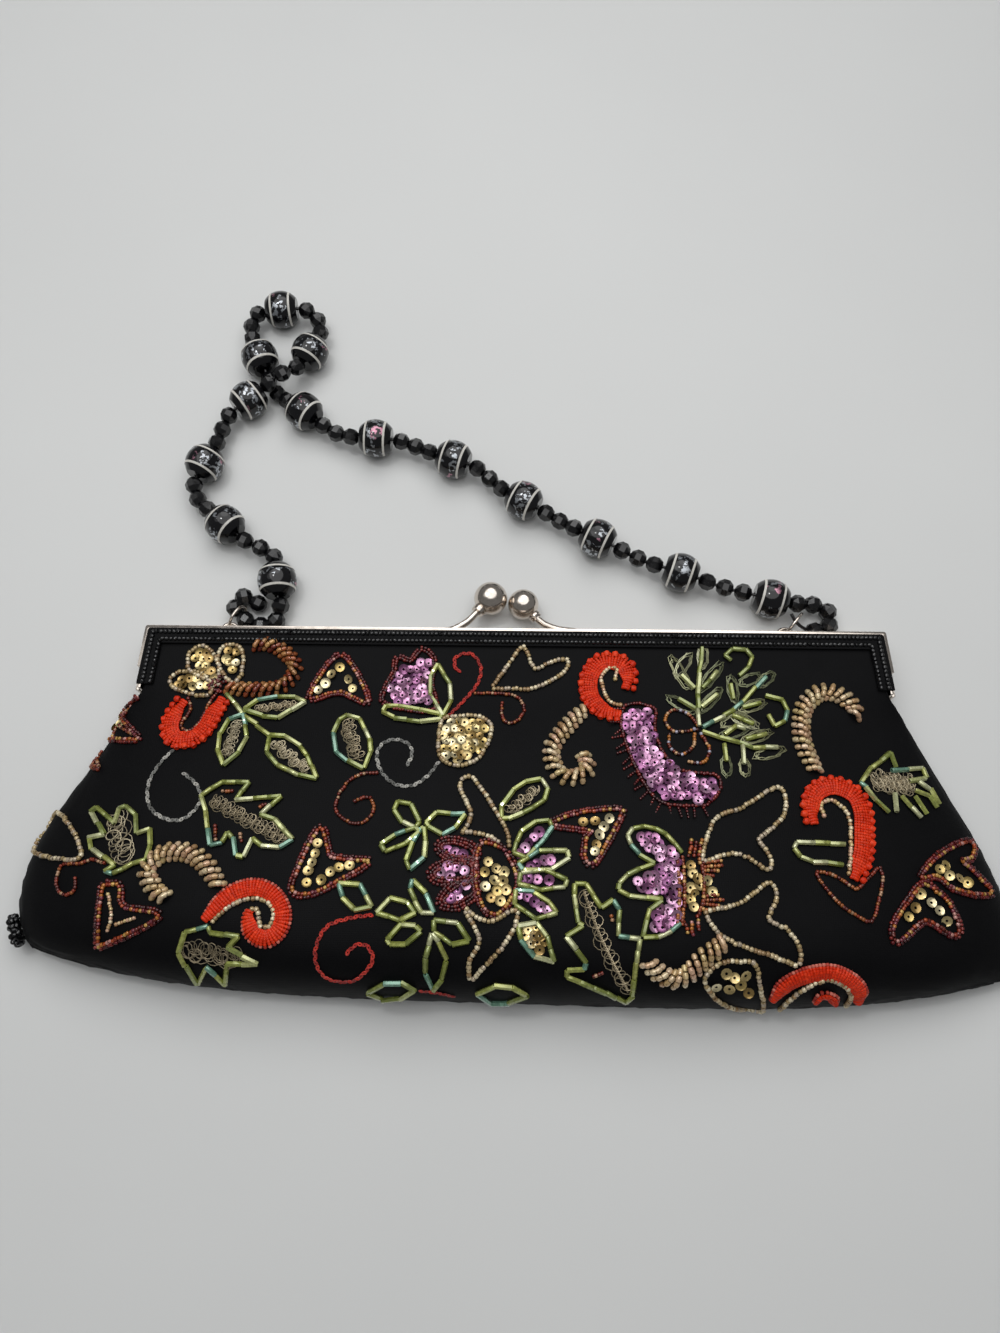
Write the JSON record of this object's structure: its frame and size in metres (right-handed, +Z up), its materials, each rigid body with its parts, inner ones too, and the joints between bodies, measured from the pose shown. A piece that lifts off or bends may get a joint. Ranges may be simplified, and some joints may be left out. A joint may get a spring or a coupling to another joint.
{
  "type": "beaded kiss lock purse",
  "caption": "Black cloth evening purse, wider at its base, hung from a silver kiss lock frame, with floral beadwork on the front and a bead string handle.",
  "frame": {"origin": "on the surface that the purse lies on, at a point of the flat back below the middle of the bag, 50 mm from the frame's top edge", "axes": "+Z up out of the beaded front, +X along the frame to the right as the front is seen, +Y from the bag's bottom edge towards the handle"},
  "size_m": [0.2765, 0.2244, 0.0232],
  "materials": {
    "bag_cloth": "dull black satin weave",
    "frame_metal": "polished nickel plate",
    "strap_large_glass": "glossy black glass with white bands and foil flecks",
    "strap_small_glass": "faceted jet glass",
    "embroidery_glass": "glossy seed beads and bugles in many colours",
    "embroidery_sequins": "metallic sequins",
    "embroidery_thread": "metal wound thread"
  },
  "bodies": {
    "root": {"bag_front": "bag_cloth", "bag_back": "bag_cloth", "corner_knot_left": "bag_cloth", "corner_knot_right": "bag_cloth", "frame_front": "frame_metal", "frame_back": "frame_metal", "clasp_ball_left": "frame_metal", "clasp_ball_right": "frame_metal", "hinge_rivet_left": "frame_metal", "hinge_rivet_right": "frame_metal", "ring_left": "frame_metal", "ring_right": "frame_metal", "strap_bead_01": "strap_large_glass", "strap_bead_02": "strap_large_glass", "strap_bead_03": "strap_large_glass", "strap_bead_04": "strap_large_glass", "strap_bead_05": "strap_large_glass", "strap_bead_06": "strap_large_glass", "strap_bead_07": "strap_large_glass", "strap_bead_08": "strap_large_glass", "strap_bead_09": "strap_large_glass", "strap_bead_10": "strap_large_glass", "strap_bead_11": "strap_large_glass", "strap_bead_12": "strap_large_glass", "strap_bead_13": "strap_large_glass", "strap_bead_14": "strap_large_glass", "strap_run_01": "strap_small_glass", "strap_run_02": "strap_small_glass", "strap_run_03": "strap_small_glass", "strap_run_04": "strap_small_glass", "strap_run_05": "strap_small_glass", "strap_run_06": "strap_small_glass", "strap_run_07": "strap_small_glass", "strap_run_08": "strap_small_glass", "strap_run_09": "strap_small_glass", "strap_run_10": "strap_small_glass", "strap_run_11": "strap_small_glass", "strap_run_12": "strap_small_glass", "strap_run_13": "strap_small_glass", "strap_loop_left": "strap_small_glass", "strap_loop_right": "strap_small_glass", "bead_trim": "strap_small_glass"}
  },
  "joints": []
}
